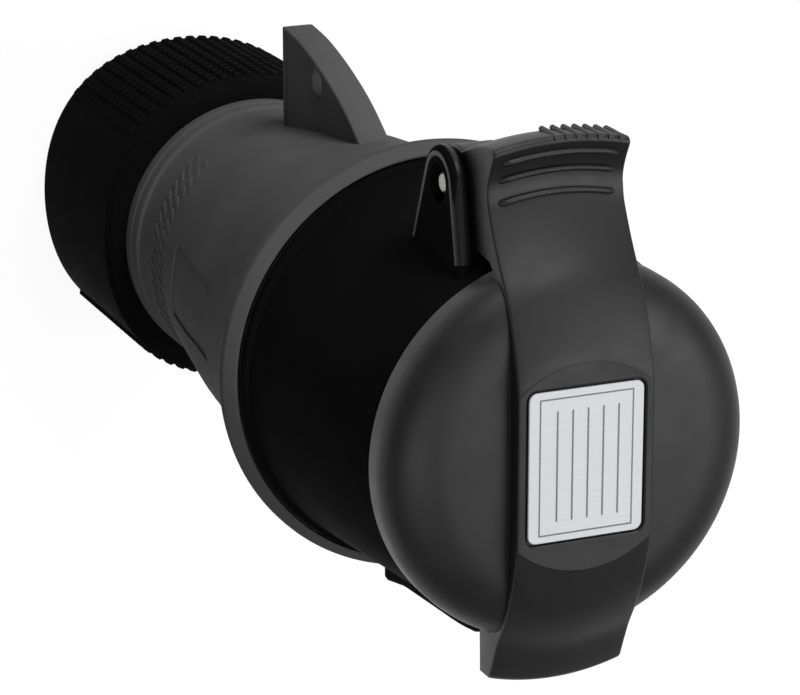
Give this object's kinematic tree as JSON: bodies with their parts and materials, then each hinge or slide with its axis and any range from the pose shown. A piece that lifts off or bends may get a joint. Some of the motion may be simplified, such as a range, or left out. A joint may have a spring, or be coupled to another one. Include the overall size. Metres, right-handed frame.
{
  "type": "industrial cable coupler",
  "caption": "Splash-proof industrial cable socket with a sprung lid, a keyed collar, a flared grey rear housing with a hanging lug, and a knurled cable nut.",
  "frame": {"origin": "bottom centre of the overall box, on the floor that the nut's flat rear face stands on", "axes": "+Z along the coupler's axis towards the lid, +Y towards the lid's hinge and the hanging lug, +X to the right"},
  "size_m": [0.0776, 0.0932, 0.1928],
  "materials": {
    "rear_housing": "satin",
    "front_housing": "satin",
    "cable_nut": "satin",
    "thrust_ring": "satin",
    "clamp_cage": "satin",
    "cable_seal": "matt",
    "housing_seal": "matt",
    "contact_carrier": "satin",
    "phase_sleeve_1": "machined",
    "phase_sleeve_2": "machined",
    "phase_sleeve_3": "machined",
    "earth_sleeve_e": "machined",
    "terminal_screw_1": "bright zinc plate",
    "terminal_screw_2": "bright zinc plate",
    "terminal_screw_3": "bright zinc plate",
    "terminal_screw_e": "bright zinc plate",
    "carrier_screw_1": "bright zinc plate",
    "carrier_screw_2": "bright zinc plate",
    "hinge_pin": "bright zinc plate",
    "lid_spring": "bright zinc plate",
    "lid": "satin",
    "lid_gasket": "matt",
    "rating_plate": "smooth film"
  },
  "bodies": {
    "housing": {"rear_housing": "rear_housing", "front_housing": "front_housing", "clamp_cage": "clamp_cage", "cable_seal": "cable_seal", "housing_seal": "housing_seal", "contact_carrier": "contact_carrier", "phase_sleeve_1": "phase_sleeve_1", "phase_sleeve_2": "phase_sleeve_2", "phase_sleeve_3": "phase_sleeve_3", "earth_sleeve_e": "earth_sleeve_e", "terminal_screw_1": "terminal_screw_1", "terminal_screw_2": "terminal_screw_2", "terminal_screw_3": "terminal_screw_3", "terminal_screw_e": "terminal_screw_e", "carrier_screw_1": "carrier_screw_1", "carrier_screw_2": "carrier_screw_2", "hinge_pin": "hinge_pin", "lid_spring": "lid_spring"},
    "lid_body": {"lid": "lid", "lid_gasket": "lid_gasket", "rating_plate": "rating_plate"},
    "thrust_body": {"thrust_ring": "thrust_ring"},
    "nut_body": {"cable_nut": "cable_nut"}
  },
  "joints": [
    {"name": "lid_hinge", "type": "hinge", "parent": "housing", "child": "lid_body", "pos_m": [0, 0.03636, 0.168], "axis": [-1, 0, 0], "range_deg": [0, 115], "stiffness_Nm_per_rad": 0.06},
    {"name": "nut_travel", "type": "slide", "parent": "housing", "child": "thrust_body", "axis": [0, 0, -1], "range_m": [0, 0.006]},
    {"name": "nut_turn", "type": "hinge", "parent": "thrust_body", "child": "nut_body", "pos_m": [0, -0.00594, 0.007], "axis": [0, 0, -1], "range_deg": [0, 720]}
  ],
  "couplings": [
    {"joint": "nut_turn", "follows": "nut_travel", "rad_per_m": 2094.4}
  ]
}
